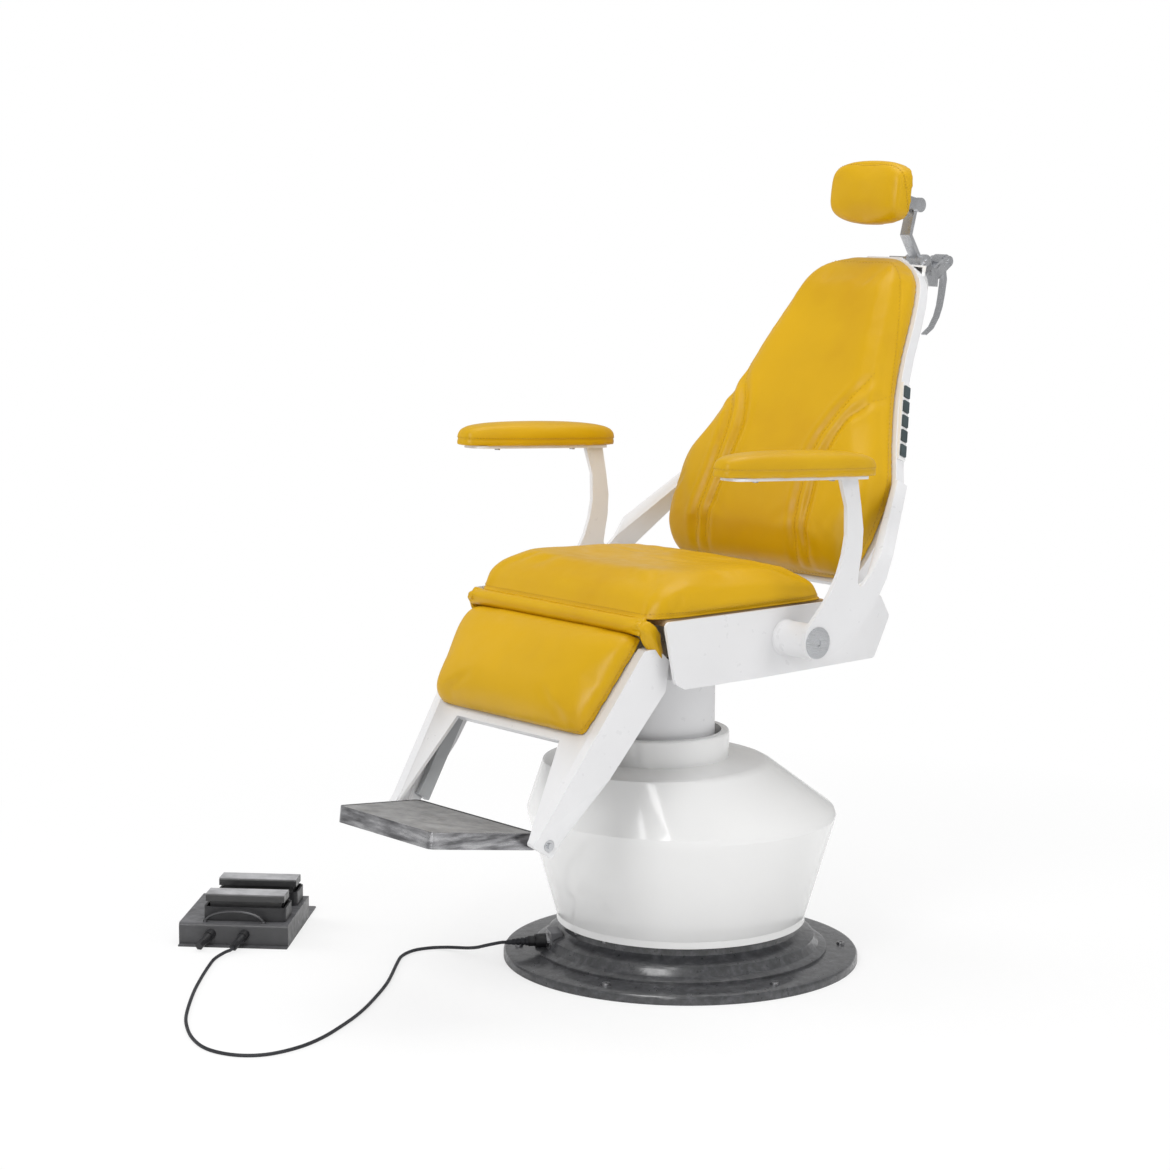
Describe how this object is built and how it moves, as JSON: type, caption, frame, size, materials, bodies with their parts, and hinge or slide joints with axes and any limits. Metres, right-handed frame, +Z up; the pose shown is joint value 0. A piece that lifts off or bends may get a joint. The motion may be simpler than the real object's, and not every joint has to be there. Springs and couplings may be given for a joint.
{
  "type": "examination chair",
  "caption": "Reclining ear, nose and throat examination chair on a round lift pedestal, with leg rest, footrest, adjustable headrest and a corded foot pedal.",
  "frame": {"origin": "on the floor, at the centre of the round base plate", "axes": "+Z up; the sitter faces -Y; +X is the sitter's left, the side nearer the camera"},
  "size_m": [1.209, 1.6377, 1.4273],
  "materials": {
    "white_paint": "satin powder coat, warm white",
    "white_cover": "glossy white moulded plastic",
    "floor_casting": "dark hammered paint over cast iron",
    "inner_casting": "grey primer over cast iron",
    "zinc_screw": "bright zinc plate",
    "bright_steel": "turned and brushed",
    "chromed_rod": "hard chrome",
    "bronze_washer": "plain bronze",
    "drive_case": "fine grain black",
    "tank_paint": "black enamel",
    "motor_paint": "grey enamel",
    "connector_metal": "matt nickel",
    "black_plastic": "fine grain black",
    "cord_rubber": "smooth black jacket",
    "pedal_paint": "dark textured enamel",
    "treadle_rubber": "moulded black, satin",
    "hoop_steel": "blackened wire",
    "plywood": "bare birch ply",
    "yellow_leather": "soft yellow upholstery leather, fine grain",
    "key_plastic": "dark blue-black keycaps",
    "cast_aluminium": "polished castings",
    "grey_paint": "light grey enamel",
    "tray_metal": "brushed edge band",
    "mat_rubber": "ribbed grey mat"
  },
  "bodies": {
    "base": {"base_plate": "floor_casting", "floor_screws": "zinc_screw", "pedestal_cover": "white_cover", "lift_guide": "inner_casting", "lift_cylinder": "bright_steel", "oil_tank": "tank_paint", "pump_motor": "motor_paint", "connector_block": "inner_casting", "panel_connector": "connector_metal", "control_plug": "black_plastic", "strain_relief": "cord_rubber", "control_cord": "cord_rubber", "pedal_tray": "pedal_paint", "pedal_glands": "black_plastic", "pedal_hoop": "hoop_steel", "switch_housings": "black_plastic"},
    "column": {"column_tube": "white_paint", "column_head": "bright_steel", "lift_rod": "chromed_rod", "thrust_washer": "bronze_washer"},
    "seat": {"seat_frame": "white_paint", "seat_board": "plywood", "side_panel_left": "white_paint", "side_panel_right": "white_paint", "pivot_housings": "white_paint", "seat_cushion": "yellow_leather", "leg_flap": "yellow_leather", "recline_actuator": "drive_case", "leg_actuator": "drive_case"},
    "back": {"recline_shaft": "bright_steel", "side_plate_left": "white_paint", "side_plate_right": "white_paint", "pivot_caps": "bright_steel", "back_shell": "white_paint", "rear_cover": "white_cover", "back_cushion": "yellow_leather", "key_housing": "white_cover", "arm_plates": "white_paint", "arm_pads": "yellow_leather", "arm_screws": "zinc_screw"},
    "recline_drive": {"recline_rod": "bright_steel"},
    "leg": {"leg_frame": "white_paint", "leg_cushion": "yellow_leather", "leg_rails": "grey_paint", "leg_bolts": "bright_steel"},
    "leg_drive": {"leg_rod": "bright_steel"},
    "footrest": {"footrest_tray": "tray_metal", "footrest_mat": "mat_rubber"},
    "headrest_bracket": {"headrest_mount": "cast_aluminium"},
    "headrest_arm": {"headrest_link": "cast_aluminium"},
    "headrest": {"headrest_hinge": "cast_aluminium", "headrest_cushion": "yellow_leather"},
    "clamp": {"clamp_lever": "bright_steel"},
    "front_pedal": {"front_treadle": "treadle_rubber"},
    "rear_pedal": {"rear_treadle": "treadle_rubber"},
    "button_1": {"key_1": "key_plastic"},
    "button_2": {"key_2": "key_plastic"},
    "button_3": {"key_3": "key_plastic"},
    "button_4": {"key_4": "key_plastic"},
    "button_5": {"key_5": "key_plastic"}
  },
  "joints": [
    {"name": "column_lift", "type": "slide", "parent": "base", "child": "column", "axis": [0, 0, 1], "range_m": [-0.085, 0.1]},
    {"name": "chair_swivel", "type": "hinge", "parent": "column", "child": "seat", "pos_m": [0, -0.064, 0.5], "axis": [0, 0, 1], "range_deg": [-175, 175]},
    {"name": "backrest_recline", "type": "hinge", "parent": "seat", "child": "back", "pos_m": [0, 0, 0.617], "axis": [-1, 0, 0], "range_deg": [-10, 60]},
    {"name": "recline_drive", "type": "slide", "parent": "seat", "child": "recline_drive", "axis": [0, -1, 0], "range_m": [-0.0068, 0.0396]},
    {"name": "legrest_tilt", "type": "hinge", "parent": "seat", "child": "leg", "pos_m": [0, -0.275, 0.598], "axis": [-1, 0, 0], "range_deg": [-5, 40], "deforming": ["leg_flap"]},
    {"name": "leg_drive", "type": "slide", "parent": "seat", "child": "leg_drive", "axis": [0, -1, 0], "range_m": [-0.0023, 0.0176]},
    {"name": "footrest_flip", "type": "hinge", "parent": "leg", "child": "footrest", "pos_m": [0, -0.47463, 0.31169], "axis": [-1, 0, 0], "range_deg": [0, 85]},
    {"name": "headrest_height", "type": "slide", "parent": "back", "child": "headrest_bracket", "axis": [0, 0.4274, 0.9041], "range_m": [0, 0.08]},
    {"name": "headrest_swing", "type": "hinge", "parent": "headrest_bracket", "child": "headrest_arm", "pos_m": [0, 0.58516, 1.23744], "axis": [1, 0, 0], "range_deg": [-30, 10]},
    {"name": "headrest_tilt", "type": "hinge", "parent": "headrest_arm", "child": "headrest", "pos_m": [0, 0.56847, 1.34488], "axis": [1, 0, 0], "range_deg": [-35, 15]},
    {"name": "clamp_turn", "type": "hinge", "parent": "headrest_bracket", "child": "clamp", "pos_m": [0, 0.64999, 1.23887], "axis": [1, 0, 0], "range_deg": [0, 70]},
    {"name": "button_1_press", "type": "slide", "parent": "back", "child": "button_1", "axis": [-0.9455, -0.1391, -0.2944], "range_m": [0, 0.0015], "stiffness_N_per_m": 900, "springref_m": -0.0004},
    {"name": "button_2_press", "type": "slide", "parent": "back", "child": "button_2", "axis": [-0.9455, -0.1391, -0.2944], "range_m": [0, 0.0015], "stiffness_N_per_m": 900, "springref_m": -0.0004},
    {"name": "button_3_press", "type": "slide", "parent": "back", "child": "button_3", "axis": [-0.9455, -0.1391, -0.2944], "range_m": [0, 0.0015], "stiffness_N_per_m": 900, "springref_m": -0.0004},
    {"name": "button_4_press", "type": "slide", "parent": "back", "child": "button_4", "axis": [-0.9455, -0.1391, -0.2944], "range_m": [0, 0.0015], "stiffness_N_per_m": 900, "springref_m": -0.0004},
    {"name": "button_5_press", "type": "slide", "parent": "back", "child": "button_5", "axis": [-0.9455, -0.1391, -0.2944], "range_m": [0, 0.0015], "stiffness_N_per_m": 900, "springref_m": -0.0004},
    {"name": "front_pedal_press", "type": "hinge", "parent": "base", "child": "front_pedal", "pos_m": [-0.59637, -0.53259, 0.068], "axis": [0.7071, 0.7071, 0], "range_deg": [0, 6], "stiffness_Nm_per_rad": 12, "springref_deg": -3.44},
    {"name": "rear_pedal_press", "type": "hinge", "parent": "base", "child": "rear_pedal", "pos_m": [-0.6791, -0.44986, 0.068], "axis": [0.7071, 0.7071, 0], "range_deg": [0, 6], "stiffness_Nm_per_rad": 12, "springref_deg": -3.44}
  ],
  "couplings": [
    {"joint": "recline_drive", "follows": "backrest_recline", "m_per_rad": 0.03741},
    {"joint": "leg_drive", "follows": "legrest_tilt", "m_per_rad": 0.02496}
  ]
}
